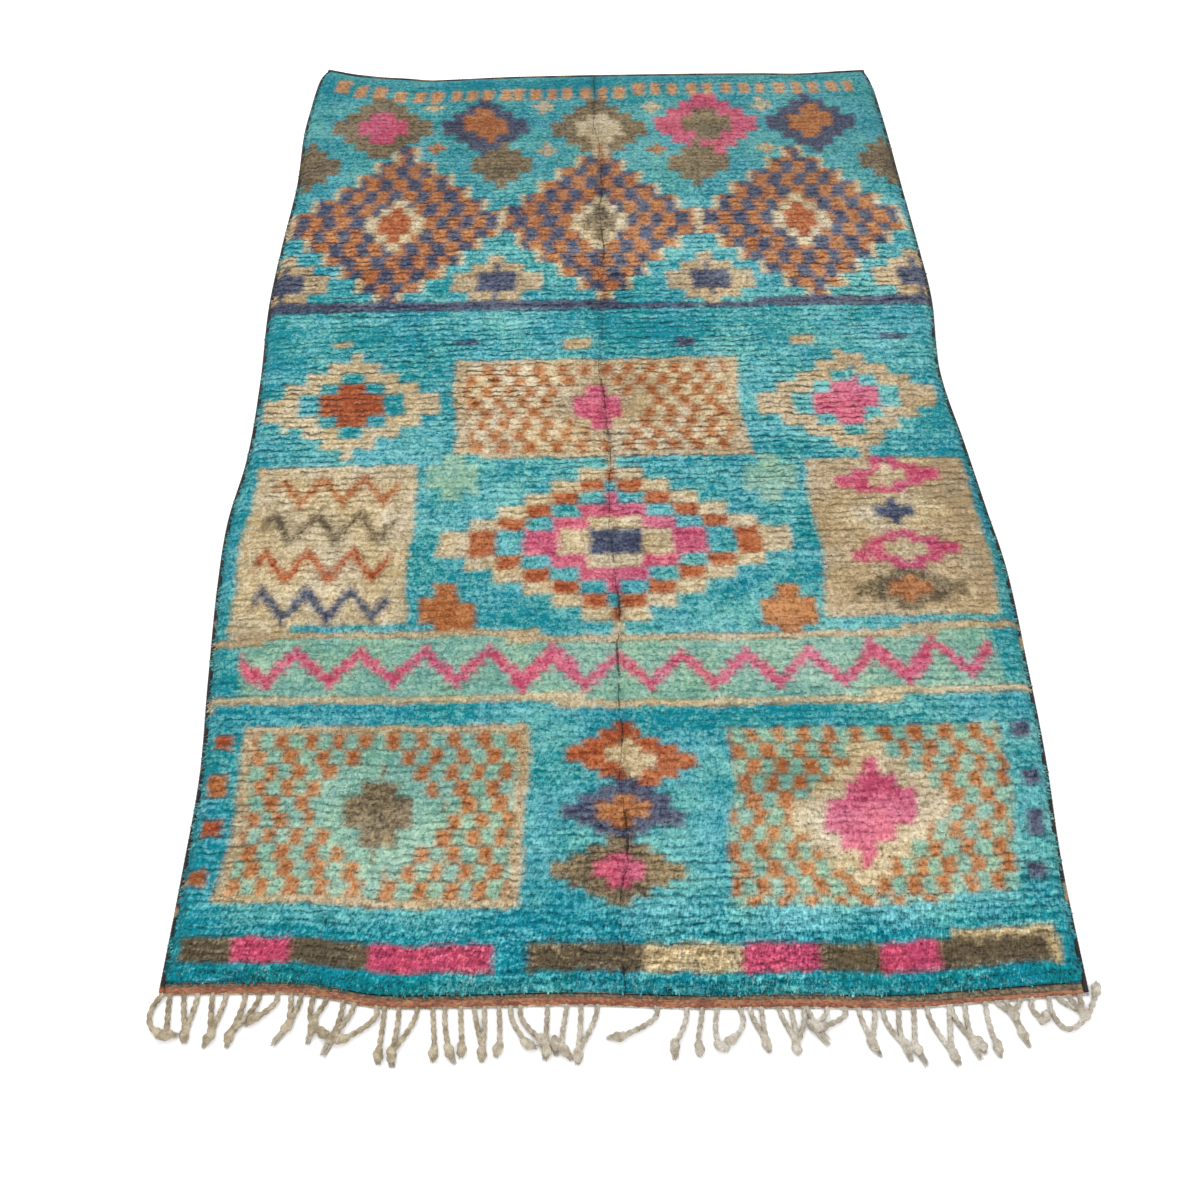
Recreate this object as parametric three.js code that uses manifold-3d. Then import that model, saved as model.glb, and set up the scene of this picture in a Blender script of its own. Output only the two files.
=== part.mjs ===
// A hand-knotted wool pile rug with a knotted warp fringe at one end, lying on the floor.
// Millimetres. X runs across the rug, Y along it and away from the fringe, Z up from the floor.
// The origin is on the floor, under the middle of the rug.
import * as THREE from 'three';
import Module from 'manifold-3d';
import { mergeVertices } from 'three/addons/utils/BufferGeometryUtils.js';

// Driving sizes
const LENGTH = 2600;
const HALF_WIDTH = 800;
const GAP = 0.5;

const PILE_HEIGHT = 20;
const ROW_PITCH = 16.5;
const ROW_GROOVE = 5;
const ROW_CREST = 0.35;
const PILE_LUMP = 1.6;
const PILE_OVERHANG = 10;
const RIM_HEIGHT = 12;
const RIM_CREST = 5;
const RIM_GROOVE = 1;
const LOCK_COUNT = 64;
const LOCK_NOTCH = 3;
const LOCK_TIP_HEIGHT = 10;

const CREASE_DEPTH = 5;
const CREASE_WIDTH = 40;
const CORNER_LIFT = 16;
const CORNER_REACH = 150;

// The ends' wander dies out into the field: slowly from the fringe end, fast from the top edge
const NEAR_FADE = 8;
const FAR_FADE = 20;

const SIDE_CORD_WIDTH = 10;
const SIDE_CORD_HEIGHT = 7.5;
const TOP_EDGE_WIDTH = 10;
const TOP_EDGE_HEIGHT = 8;
const BAND_WIDTH = 17;
const BAND_HEIGHT = 5;
const STRIP_WIDTH = 5;
const STRIP_HEIGHT = 4;

const STRAND_WIDTH = 9;
const STRAND_HEIGHT = 7;
const KNOT_LENGTH = 16;
const KNOT_WIDTH = 18;
const KNOT_HEIGHT = 12;
const TAIL_SHORTEST = 14;

// How the outline wanders: each side's distance from the middle line, along the rug
const SIDES = [
  { along: -1300, left: 797, right: 784 },
  { along: -1060, left: 791, right: 791 },
  { along: -860, left: 789, right: 808 },
  { along: -660, left: 803, right: 817 },
  { along: -410, left: 818, right: 823 },
  { along: -260, left: 819, right: 812 },
  { along: -90, left: 801, right: 800 },
  { along: 140, left: 800, right: 783 },
  { along: 390, left: 810, right: 805 },
  { along: 590, left: 804, right: 803 },
  { along: 840, left: 791, right: 797 },
  { along: 1090, left: 793, right: 791 },
  { along: 1245, left: 773, right: 781 },
  { along: 1275, left: 763, right: 775 },
  { along: 1300, left: 747, right: 766 },
];

// How far each end strays from straight, across the rug from the left side (-1) to the right (1)
const ENDS = [
  { across: -1, near: 39, far: 26 },
  { across: -0.88, near: 38, far: 14 },
  { across: -0.8, near: 37, far: 3 },
  { across: -0.7, near: 34, far: -6 },
  { across: -0.62, near: 23, far: -15 },
  { across: -0.54, near: 10, far: -13 },
  { across: -0.35, near: 5, far: -5 },
  { across: -0.1, near: 4, far: -1 },
  { across: 0.14, near: -6, far: 0 },
  { across: 0.37, near: -9, far: 0 },
  { across: 0.6, near: -15, far: -2 },
  { across: 0.75, near: -9, far: -6 },
  { across: 0.9, near: -3, far: 2 },
  { across: 1, near: 1, far: 7 },
];

// The fringe, a row for each knot. Its place across and its reach from the rug's edge, the
// tail's run past it, and the roots of the strands that meet there, with their sideways bow.
const KNOTS = [
  { across: -783, reach: 64, tail: [8, 6], roots: [-787], bow: -26 },
  { across: -772, reach: 65, tail: [15, 2], roots: [-776], bow: 0 },
  { across: -741, reach: 65, tail: [0, 10], roots: [-752, -729], bow: 0 },
  { across: -699, reach: 69, tail: [-8, 14], roots: [-704, -681], bow: 0 },
  { across: -666, reach: 69, tail: [-3, 15], roots: [-649, -624], bow: 2 },
  { across: -628, reach: 40, tail: [-12, 8], roots: [-596], bow: 12 },
  { across: -571, reach: 52, tail: [-23, 30], roots: [-571, -554], bow: 2 },
  { across: -528, reach: 49, tail: [-7, 24], roots: [-531, -508], bow: -8 },
  { across: -512, reach: 56, tail: [14, 10], roots: [], bow: 0 },
  { across: -494, reach: 60, tail: [-14, 27], roots: [-482, -463], bow: 2 },
  { across: -479, reach: 61, tail: [-14, 0], roots: [-428], bow: 20 },
  { across: -416, reach: 75, tail: [0, 12], roots: [-411], bow: 0 },
  { across: -395, reach: 75, tail: [3, 16], roots: [-387, -356], bow: 2 },
  { across: -325, reach: 71, tail: [0, 12], roots: [-330], bow: 2 },
  { across: -300, reach: 69, tail: [8, 18], roots: [-309], bow: -2 },
  { across: -279, reach: 66, tail: [0, 10], roots: [-283], bow: 1 },
  { across: -245, reach: 73, tail: [0, 10], roots: [-260, -243], bow: 2 },
  { across: -218, reach: 66, tail: [-3, 10], roots: [-219], bow: 3 },
  { across: -170, reach: 61, tail: [12, 5], roots: [-198], bow: -6 },
  { across: -145, reach: 57, tail: [6, 14], roots: [-181], bow: -10 },
  { across: -138, reach: 71, tail: [-2, 13], roots: [-136], bow: -2 },
  { across: -124, reach: 61, tail: [2, 16], roots: [], bow: 0 },
  { across: -110, reach: 72, tail: [12, 12], roots: [-103], bow: -6 },
  { across: -86, reach: 80, tail: [0, 11], roots: [-80, -52], bow: 0 },
  { across: -15, reach: 49, tail: [-20, 2], roots: [44], bow: 22 },
  { across: 74, reach: 62, tail: [0, 18], roots: [98], bow: 3 },
  { across: 115, reach: 63, tail: [0, 10], roots: [125], bow: -4 },
  { across: 151, reach: 61, tail: [8, 4], roots: [151], bow: -9 },
  { across: 170, reach: 50, tail: [-14, 9], roots: [185], bow: 16 },
  { across: 227, reach: 56, tail: [3, 12], roots: [205, 224], bow: 0 },
  { across: 276, reach: 63, tail: [2, 8], roots: [253, 273, 295], bow: 4 },
  { across: 308, reach: 30, tail: [22, 28], roots: [299, 334], bow: 6 },
  { across: 322, reach: 31, tail: [-8, 2], roots: [361], bow: 20 },
  { across: 403, reach: 57, tail: [11, 17], roots: [388, 415], bow: 0 },
  { across: 459, reach: 61, tail: [4, 20], roots: [430, 457], bow: -8 },
  { across: 475, reach: 63, tail: [12, 26], roots: [481], bow: -2 },
  { across: 535, reach: 78, tail: [6, 14], roots: [504, 542], bow: -4 },
  { across: 572, reach: 62, tail: [6, 26], roots: [545, 569], bow: -4 },
  { across: 583, reach: 65, tail: [5, 12], roots: [], bow: 0 },
  { across: 610, reach: 71, tail: [2, 14], roots: [604], bow: -4 },
  { across: 647, reach: 21, tail: [8, 26], roots: [622, 640, 664], bow: 0 },
  { across: 656, reach: 53, tail: [7, 20], roots: [], bow: 0 },
  { across: 697, reach: 33, tail: [8, -10], roots: [687], bow: -14 },
  { across: 766, reach: 29, tail: [2, 5], roots: [728, 748, 766], bow: 0 },
];

// The last strand curls round the right corner: places across and along, ending in its knot
const CORNER_STRAND = [
  { across: 713, along: -1300 },
  { across: 712, along: -1320 },
  { across: 717, along: -1338 },
  { across: 728, along: -1353 },
  { across: 744, along: -1353 },
  { across: 761, along: -1342 },
  { across: 776, along: -1327 },
  { across: 788, along: -1309 },
  { across: 795, along: -1292 },
];
const CORNER_TAIL = { across: 801, along: -1280 };

function lerp(start, end, share) {
  return start + (end - start) * share;
}

function steps(count) {
  return Array.from({ length: count + 1 }, (_, index) => index / count);
}

function mirrored(places) {
  return [...[...places].reverse().map(place => -place), 0, ...places];
}

function curveThrough(rows, place, value) {
  const places = rows.map(row => row[place]);
  const values = rows.map(row => row[value]);
  const curve = new THREE.CubicInterpolant(places, values, 1);
  return where => curve.evaluate(where)[0];
}

const leftSide = curveThrough(SIDES, 'along', 'left');
const rightSide = curveThrough(SIDES, 'along', 'right');
const nearShift = curveThrough(ENDS, 'across', 'near');
const farShift = curveThrough(ENDS, 'across', 'far');

// The far left corner curls up a little off the floor
function cornerLift(x, y) {
  const reach = Math.hypot(x + HALF_WIDTH, y - LENGTH / 2) / CORNER_REACH;
  const share = Math.max(0, 1 - reach);
  return CORNER_LIFT * share * share * (3 - 2 * share);
}

// A point of the rug: across from -1 to 1, along from the fringe end (0) to the top edge (1)
function onRug(across, along, height) {
  const middle = LENGTH * (along - 0.5);
  const x = lerp(-leftSide(middle), rightSide(middle), (across + 1) / 2);
  const nearPull = nearShift(across) * (1 - along) ** NEAR_FADE;
  const farPull = farShift(across) * along ** FAR_FADE;
  const y = middle + nearPull + farPull;
  return new THREE.Vector3(x, y, height + cornerLift(x, y));
}

const acrossAt = inset => 1 - inset / HALF_WIDTH;
const alongAt = inset => inset / LENGTH;

// Joins two chains of points with triangles, walking both in the order of one coordinate.
// With the second chain to the left of the first, the faces look up.
function stitch(first, second, axis) {
  const corners = [];
  let i = 0;
  let j = 0;
  while (i < first.length - 1 || j < second.length - 1) {
    const firstNext = i < first.length - 1 ? first[i + 1][axis] : Infinity;
    const secondNext = j < second.length - 1 ? second[j + 1][axis] : Infinity;
    if (firstNext <= secondNext) {
      corners.push(first[i], first[i + 1], second[j]);
      i += 1;
    } else {
      corners.push(first[i], second[j + 1], second[j]);
      j += 1;
    }
  }
  return corners;
}

function closedGeometry(corners) {
  const loose = new THREE.BufferGeometry().setFromPoints(corners);
  const geometry = mergeVertices(loose, 0.001);
  geometry.computeVertexNormals();
  return geometry;
}

// A body through sections with the same number of points, closed at both ends.
// The points of a section run anticlockwise, seen from the far end looking back.
function loft(sections) {
  const corners = [];
  const count = sections[0].length;
  for (let k = 0; k < sections.length - 1; k += 1) {
    for (let i = 0; i < count; i += 1) {
      const next = (i + 1) % count;
      const [a, b] = [sections[k][i], sections[k][next]];
      const [c, d] = [sections[k + 1][i], sections[k + 1][next]];
      corners.push(a, b, d, a, d, c);
    }
  }
  const [start, end] = [sections[0], sections[sections.length - 1]];
  for (let i = 1; i < count - 1; i += 1) {
    corners.push(start[0], start[i + 1], start[i]);
    corners.push(end[0], end[i], end[i + 1]);
  }
  return closedGeometry(corners);
}

// Places across the rug: many at its ends, where the edge curves, and few in the field.
// Both sets reach full height close to the rim and keep three places on the middle crease.
const EDGE_PLACES = steps(32).map(share => share * 2 - 1);
const FIELD_PLACES = mirrored([0.035, 0.5, 0.965, 1]);
const BORDER_PLACES = mirrored([0.035, 0.2, 0.4, 0.54, 0.62, 0.7, 0.8, 0.88, 0.965, 1]);
const NEAR_BORDER_ROWS = 20;
const FAR_BORDER_ROWS = 8;

const pileSide = acrossAt(SIDE_CORD_WIDTH + GAP);
const pileNear = alongAt(STRIP_WIDTH + BAND_WIDTH + GAP * 2);
const pileFar = 1 - alongAt(TOP_EDGE_WIDTH + GAP);
const ROW_COUNT = Math.round((LENGTH * (pileFar - pileNear)) / ROW_PITCH);
const WALL_STATIONS = steps(60).map(share => lerp(pileNear, pileFar, share));
const FACE_STATIONS = EDGE_PLACES.map(place => place * pileSide);
const FULL_STATIONS = [-1, ...FACE_STATIONS, 1];
const WALL_HEIGHT = SIDE_CORD_HEIGHT + GAP * 2;
const FRONT_HEIGHT = BAND_HEIGHT + GAP * 2;

// The pile is uneven: low swells over the field, and a lengthwise fold crease down the middle
function pileSwell(across, along) {
  const broad = Math.sin(across * 5.1 + along * 9.7) * Math.cos(along * 23 - across * 3.3);
  const fine = Math.sin(across * 17 + along * 61) * Math.sin(along * 143 + across * 7);
  const crease = Math.max(0, 1 - Math.abs(across) * HALF_WIDTH / (CREASE_WIDTH / 2));
  return PILE_LUMP * (broad + 0.6 * fine) - CREASE_DEPTH * crease;
}

// One line of points across the pile, on a row's crest or in the groove before it
function rowLine(row, onCrest, places) {
  const along = lerp(pileNear, pileFar, (row + (onCrest ? ROW_CREST : 0)) / ROW_COUNT);
  const rim = onCrest ? RIM_CREST : RIM_GROOVE;
  return places.map(place => {
    const atRim = Math.abs(place) === 1;
    const across = place * (atRim ? pileSide + rim / HALF_WIDTH : pileSide);
    const top = PILE_HEIGHT - (onCrest ? 0 : ROW_GROOVE) + pileSwell(across, along);
    return onRug(across, along, atRim ? RIM_HEIGHT : top);
  });
}

// The pile's locks lean out over the end band
function lockLine() {
  return steps(LOCK_COUNT * 2).map((share, index) => {
    const isTip = index % 2 === 1;
    const reach = isTip ? PILE_OVERHANG : LOCK_NOTCH;
    const height = isTip ? LOCK_TIP_HEIGHT : RIM_HEIGHT;
    return onRug(lerp(-pileSide, pileSide, share), pileNear - alongAt(reach), height);
  });
}

function pileRowLines() {
  const lines = [lockLine()];
  for (let row = 0; row < ROW_COUNT; row += 1) {
    const inBorder = row < NEAR_BORDER_ROWS || row >= ROW_COUNT - FAR_BORDER_ROWS;
    const places = inBorder ? BORDER_PLACES : FIELD_PLACES;
    if (row > 0) {
      lines.push(rowLine(row, false, places));
    }
    lines.push(rowLine(row, true, places));
  }
  lines.push(rowLine(ROW_COUNT, false, EDGE_PLACES));
  return lines;
}

function pileGeometry() {
  const lines = pileRowLines();
  const lineEnd = (line, side) => (side < 0 ? line[0] : line[line.length - 1]);
  const wall = (side, height) => WALL_STATIONS.map(along => onRug(side * pileSide, along, height));
  const face = (along, height) => FACE_STATIONS.map(across => onRug(across, along, height));

  const [leftGround, rightGround] = [wall(-1, 0), wall(1, 0)];
  const [leftWall, rightWall] = [wall(-1, WALL_HEIGHT), wall(1, WALL_HEIGHT)];
  leftWall[0] = onRug(-pileSide, pileNear, FRONT_HEIGHT);
  rightWall[0] = onRug(pileSide, pileNear, FRONT_HEIGHT);
  const [nearGround, farGround] = [face(pileNear, 0), face(pileFar, 0)];
  const nearWall = face(pileNear, FRONT_HEIGHT);
  const farWall = face(pileFar, WALL_HEIGHT);
  const leftRim = lines.map(line => lineEnd(line, -1));
  const rightRim = lines.map(line => lineEnd(line, 1));

  const corners = [];
  for (let k = 0; k < lines.length - 1; k += 1) {
    corners.push(...stitch(lines[k], lines[k + 1], 'x'));
  }
  corners.push(...stitch(leftWall, leftGround, 'y'));
  corners.push(...stitch(leftRim, leftWall, 'y'));
  corners.push(...stitch(rightGround, rightWall, 'y'));
  corners.push(...stitch(rightWall, rightRim, 'y'));
  corners.push(...stitch(nearGround, nearWall, 'x'));
  corners.push(...stitch(nearWall, lines[0], 'x'));
  corners.push(...stitch(farWall, farGround, 'x'));
  corners.push(...stitch(lines[lines.length - 1], farWall, 'x'));
  corners.push(...pileUnderside(nearGround, leftGround, rightGround, farGround));
  return closedGeometry(corners);
}

// The flat underside, with a place in from each side so that a lifted corner bends only there
function pileUnderside(nearGround, leftGround, rightGround, farGround) {
  const inner = 0.8;
  const lines = WALL_STATIONS.map((along, index) => [
    leftGround[index],
    onRug(-inner, along, 0),
    onRug(inner, along, 0),
    rightGround[index],
  ]);
  lines[0] = nearGround;
  lines[lines.length - 1] = farGround;
  const corners = [];
  for (let k = 0; k < lines.length - 1; k += 1) {
    corners.push(...stitch(lines[k + 1], lines[k], 'x'));
  }
  return corners;
}

// A wrapped cord along one side, flat underneath and rounded above
function sideCordGeometry(side) {
  const stations = [alongAt(STRIP_WIDTH + GAP), ...WALL_STATIONS];
  const profile = [
    { inset: SIDE_CORD_WIDTH * 0.2, height: 0 },
    { inset: SIDE_CORD_WIDTH * 0.8, height: 0 },
    { inset: SIDE_CORD_WIDTH, height: SIDE_CORD_HEIGHT * 0.5 },
    { inset: SIDE_CORD_WIDTH * 0.75, height: SIDE_CORD_HEIGHT },
    { inset: SIDE_CORD_WIDTH * 0.25, height: SIDE_CORD_HEIGHT },
    { inset: 0, height: SIDE_CORD_HEIGHT * 0.5 },
  ];
  const ordered = side < 0 ? [...profile].reverse() : profile;
  const sections = stations.map(along => ordered.map(({ inset, height }) =>
    onRug(side * acrossAt(inset), along, height)));
  return loft(sections);
}

// A strip across the rug through the given stations, with a profile of places and heights
function crossStripGeometry(profile, stations) {
  return loft(stations.map(across => profile.map(({ along, height }) =>
    onRug(across, along, height))));
}

function topEdgeGeometry() {
  const at = inset => 1 - alongAt(inset);
  return crossStripGeometry([
    { along: at(TOP_EDGE_WIDTH * 0.8), height: 0 },
    { along: at(TOP_EDGE_WIDTH * 0.2), height: 0 },
    { along: at(0), height: TOP_EDGE_HEIGHT * 0.5 },
    { along: at(TOP_EDGE_WIDTH * 0.25), height: TOP_EDGE_HEIGHT },
    { along: at(TOP_EDGE_WIDTH * 0.75), height: TOP_EDGE_HEIGHT },
    { along: at(TOP_EDGE_WIDTH), height: TOP_EDGE_HEIGHT * 0.5 },
  ], FULL_STATIONS);
}

// The flat end band: a wide twined part beside the fringe and a thin raised line by the pile
function endBandGeometry() {
  const at = share => alongAt(STRIP_WIDTH + GAP + BAND_WIDTH * share);
  return crossStripGeometry([
    { along: at(0), height: 0 },
    { along: at(1), height: 0 },
    { along: at(1), height: BAND_HEIGHT * 0.8 },
    { along: at(0.82), height: BAND_HEIGHT },
    { along: at(0.64), height: BAND_HEIGHT * 0.7 },
    { along: at(0.3), height: BAND_HEIGHT * 0.9 },
    { along: at(0), height: BAND_HEIGHT * 0.7 },
  ], FACE_STATIONS);
}

function fringeStripGeometry() {
  return crossStripGeometry([
    { along: 0, height: 0 },
    { along: alongAt(STRIP_WIDTH), height: 0 },
    { along: alongAt(STRIP_WIDTH), height: STRIP_HEIGHT },
    { along: 0, height: STRIP_HEIGHT },
  ], FULL_STATIONS);
}

// The y of the rug's near edge at a distance across
function nearEdge(x) {
  const reach = x < 0 ? leftSide(-LENGTH / 2) : rightSide(-LENGTH / 2);
  return -LENGTH / 2 + nearShift(x / reach);
}

// A four-sided strand on the floor, through places with their widths and heights
function strandGeometry(places) {
  const sections = places.map(({ x, y, width, height }, index) => {
    const before = places[Math.max(0, index - 1)];
    const after = places[Math.min(places.length - 1, index + 1)];
    const run = new THREE.Vector2(after.x - before.x, after.y - before.y).normalize();
    const side = new THREE.Vector2(run.y, -run.x).multiplyScalar(width / 2);
    return [
      new THREE.Vector3(x + side.x, y + side.y, 0),
      new THREE.Vector3(x - side.x, y - side.y, 0),
      new THREE.Vector3(x - side.x * 0.7, y - side.y * 0.7, height),
      new THREE.Vector3(x + side.x * 0.7, y + side.y * 0.7, height),
    ];
  });
  return loft(sections);
}

// A strand from its root in the strip to its knot, straight out at first and then bowed
function fringeStrand(root, knot) {
  const end = { x: knot.across, y: nearEdge(knot.across) - knot.reach };
  const start = { x: root, y: nearEdge(root) + STRIP_WIDTH / 2 };
  const bend = new THREE.CubicBezierCurve(
    new THREE.Vector2(start.x, start.y),
    new THREE.Vector2(start.x + knot.bow, lerp(start.y, end.y, 0.4)),
    new THREE.Vector2(end.x + knot.bow, lerp(start.y, end.y, 0.85)),
    new THREE.Vector2(end.x, end.y),
  );
  const pointCount = Math.abs(knot.bow) > 6 ? 5 : 3;
  const places = bend.getPoints(pointCount).map(({ x, y }, index) => {
    const isRoot = index === 0;
    const width = isRoot ? STRAND_WIDTH * 0.8 : STRAND_WIDTH;
    const height = isRoot ? STRIP_HEIGHT * 0.9 : STRAND_HEIGHT;
    return { x, y, width, height };
  });
  return strandGeometry(places);
}

// A knot and the loose tail past it
function knotGeometry(x, y, tailX, tailY) {
  const run = new THREE.Vector2(tailX - x, tailY - y);
  const out = run.clone().normalize();
  const at = (distance, width, height) => (
    { x: x + out.x * distance, y: y + out.y * distance, width, height });
  const tail = Math.max(run.length() + KNOT_LENGTH * 0.4, TAIL_SHORTEST);
  return strandGeometry([
    at(-KNOT_LENGTH * 0.6, STRAND_WIDTH, STRAND_HEIGHT * 0.9),
    at(-KNOT_LENGTH * 0.1, KNOT_WIDTH, KNOT_HEIGHT),
    at(KNOT_LENGTH * 0.4, KNOT_WIDTH * 0.9, KNOT_HEIGHT * 0.85),
    at(tail, STRAND_WIDTH * 0.9, STRAND_HEIGHT * 0.6),
  ]);
}

function cornerStrand() {
  const places = CORNER_STRAND.map(({ across, along }) => (
    { x: across, y: along, width: STRAND_WIDTH, height: STRAND_HEIGHT }));
  const last = CORNER_STRAND[CORNER_STRAND.length - 1];
  return [
    strandGeometry(places),
    knotGeometry(last.across, last.along, CORNER_TAIL.across, CORNER_TAIL.along),
  ];
}

function fringePieces() {
  const pieces = [fringeStripGeometry(), ...cornerStrand()];
  for (const knot of KNOTS) {
    const y = nearEdge(knot.across) - knot.reach;
    pieces.push(...knot.roots.map(root => fringeStrand(root, knot)));
    pieces.push(knotGeometry(knot.across, y, knot.across + knot.tail[0], y - knot.tail[1]));
  }
  return pieces;
}

// Joining by booleans: the strands grow out of one strip, so they are one body
const manifold = await Module();
manifold.setup();

function toSolid(geometry) {
  const bare = geometry.clone();
  bare.deleteAttribute('normal');
  const merged = mergeVertices(bare, 0.001);
  return new manifold.Manifold(new manifold.Mesh({
    numProp: 3,
    vertProperties: new Float32Array(merged.attributes.position.array),
    triVerts: new Uint32Array(merged.index.array),
  }));
}

function fromSolid(solid) {
  const mesh = solid.getMesh();
  const geometry = new THREE.BufferGeometry();
  geometry.setAttribute('position', new THREE.BufferAttribute(mesh.vertProperties, 3));
  geometry.setIndex(new THREE.BufferAttribute(mesh.triVerts, 1));
  geometry.computeVertexNormals();
  return geometry;
}

function joined(geometries) {
  const [first, ...rest] = geometries.map(toSolid);
  return fromSolid(rest.reduce((solid, piece) => solid.add(piece), first));
}

function wool(color) {
  return new THREE.MeshStandardMaterial({ color, roughness: 0.95, metalness: 0 });
}

const group = new THREE.Group();

function addPiece(name, geometry, color) {
  const mesh = new THREE.Mesh(geometry, wool(color));
  mesh.name = name;
  group.add(mesh);
}

addPiece('pile_field', pileGeometry(), 0x4f9fa8);
addPiece('side_cord_left', sideCordGeometry(-1), 0x463b34);
addPiece('side_cord_right', sideCordGeometry(1), 0x463b34);
addPiece('top_edge', topEdgeGeometry(), 0x5a4c3c);
addPiece('end_band', endBandGeometry(), 0xb56a4b);
addPiece('fringe', joined(fringePieces()), 0xbdb29b);

export default group;
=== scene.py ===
"""A hand-knotted wool pile rug with a knotted warp fringe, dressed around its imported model.

Metres. X runs across the rug, Y along it and away from the fringe, Z up from the floor.
"""
import math

import bmesh
import bpy
import numpy as np
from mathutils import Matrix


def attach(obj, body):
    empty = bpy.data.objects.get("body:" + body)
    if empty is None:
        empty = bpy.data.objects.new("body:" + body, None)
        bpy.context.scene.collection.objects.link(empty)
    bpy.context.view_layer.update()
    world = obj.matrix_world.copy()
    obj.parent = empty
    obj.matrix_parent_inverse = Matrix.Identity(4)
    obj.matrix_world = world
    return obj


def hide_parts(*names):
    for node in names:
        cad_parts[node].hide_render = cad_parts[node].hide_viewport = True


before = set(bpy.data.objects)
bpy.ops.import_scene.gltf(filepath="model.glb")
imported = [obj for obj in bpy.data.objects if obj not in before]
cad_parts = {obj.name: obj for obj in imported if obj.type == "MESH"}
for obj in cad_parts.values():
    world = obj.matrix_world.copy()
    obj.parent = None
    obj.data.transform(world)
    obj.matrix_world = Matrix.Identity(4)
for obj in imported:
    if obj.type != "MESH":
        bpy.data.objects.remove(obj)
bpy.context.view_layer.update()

MM = 0.001

# The rug's driving sizes, as in the part's source
LENGTH = 2.6
HALF_WIDTH = 0.8
GAP = 0.0005
NEAR_FADE = 8
FAR_FADE = 20
CORNER_LIFT = 0.016
CORNER_REACH = 0.15
SIDE_CORD_WIDTH = 0.010
SIDE_CORD_HEIGHT = 0.0075
TOP_EDGE_WIDTH = 0.010
TOP_EDGE_HEIGHT = 0.008
BAND_WIDTH = 0.017
BAND_HEIGHT = 0.005
STRIP_WIDTH = 0.005
STRIP_HEIGHT = 0.004
ROW_PITCH = 0.0165

# How the outline wanders: along, distance of the left side, distance of the right side, in mm
SIDES = [
    (-1300, 797, 784), (-1060, 791, 791), (-860, 789, 808), (-660, 803, 817), (-410, 818, 823),
    (-260, 819, 812), (-90, 801, 800), (140, 800, 783), (390, 810, 805), (590, 804, 803),
    (840, 791, 797), (1090, 793, 791), (1245, 773, 781), (1275, 763, 775), (1300, 747, 766),
]

# How far each end strays from straight: place across, fringe end, top edge, in mm
ENDS = [
    (-1, 39, 26), (-0.88, 38, 14), (-0.8, 37, 3), (-0.7, 34, -6), (-0.62, 23, -15),
    (-0.54, 10, -13), (-0.35, 5, -5), (-0.1, 4, -1), (0.14, -6, 0), (0.37, -9, 0),
    (0.6, -15, -2), (0.75, -9, -6), (0.9, -3, 2), (1, 1, 7),
]

# The fringe, a row for each knot, in mm: its place across, its reach from the rug's edge, the
# tail's run aside and on, the bow of its strands, and the roots of the strands that meet there
KNOTS = [
    (-783, 64, 8, 6, -26, -787), (-772, 65, 15, 2, 0, -776), (-741, 65, 0, 10, 0, -752, -729),
    (-699, 69, -8, 14, 0, -704, -681), (-666, 69, -3, 15, 2, -649, -624),
    (-628, 40, -12, 8, 12, -596), (-571, 52, -23, 30, 2, -571, -554),
    (-528, 49, -7, 24, -8, -531, -508), (-512, 56, 14, 10, 0), (-494, 60, -14, 27, 2, -482, -463),
    (-479, 61, -14, 0, 20, -428), (-416, 75, 0, 12, 0, -411), (-395, 75, 3, 16, 2, -387, -356),
    (-325, 71, 0, 12, 2, -330), (-300, 69, 8, 18, -2, -309), (-279, 66, 0, 10, 1, -283),
    (-245, 73, 0, 10, 2, -260, -243), (-218, 66, -3, 10, 3, -219), (-170, 61, 12, 5, -6, -198),
    (-145, 57, 6, 14, -10, -181), (-138, 71, -2, 13, -2, -136), (-124, 61, 2, 16, 0),
    (-110, 72, 12, 12, -6, -103), (-86, 80, 0, 11, 0, -80, -52), (-15, 49, -20, 2, 22, 44),
    (74, 62, 0, 18, 3, 98), (115, 63, 0, 10, -4, 125), (151, 61, 8, 4, -9, 151),
    (170, 50, -14, 9, 16, 185), (227, 56, 3, 12, 0, 205, 224), (276, 63, 2, 8, 4, 253, 273, 295),
    (308, 30, 22, 28, 6, 299, 334), (322, 31, -8, 2, 20, 361), (403, 57, 11, 17, 0, 388, 415),
    (459, 61, 4, 20, -8, 430, 457), (475, 63, 12, 26, -2, 481), (535, 78, 6, 14, -4, 504, 542),
    (572, 62, 6, 26, -4, 545, 569), (583, 65, 5, 12, 0), (610, 71, 2, 14, -4, 604),
    (647, 21, 8, 26, 0, 622, 640, 664), (656, 53, 7, 20, 0), (697, 33, 8, -10, -14, 687),
    (766, 29, 2, 5, 0, 728, 748, 766),
]
CORNER_STRAND = [
    (713, -1300), (712, -1320), (717, -1338), (728, -1353), (744, -1353), (761, -1342),
    (776, -1327), (788, -1309), (795, -1292),
]
CORNER_TAIL = (801, -1280)


def smooth_curve(places, values):
    """A smooth curve through the values: at each place it has the mean slope of its two sides."""
    places = np.array(places, float)
    values = np.array(values, float)
    slopes = np.diff(values) / np.diff(places)
    tangents = np.concatenate([slopes[:1], (slopes[1:] + slopes[:-1]) / 2, slopes[-1:]])

    def at(where):
        where = np.clip(where, places[0], places[-1])
        k = np.clip(np.searchsorted(places, where) - 1, 0, len(places) - 2)
        run = places[k + 1] - places[k]
        t = (where - places[k]) / run
        start = (1 + 2 * t) * (1 - t) ** 2 * values[k] + t * (1 - t) ** 2 * run * tangents[k]
        end = t * t * (3 - 2 * t) * values[k + 1] - t * t * (1 - t) * run * tangents[k + 1]
        return start + end

    return at


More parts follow.
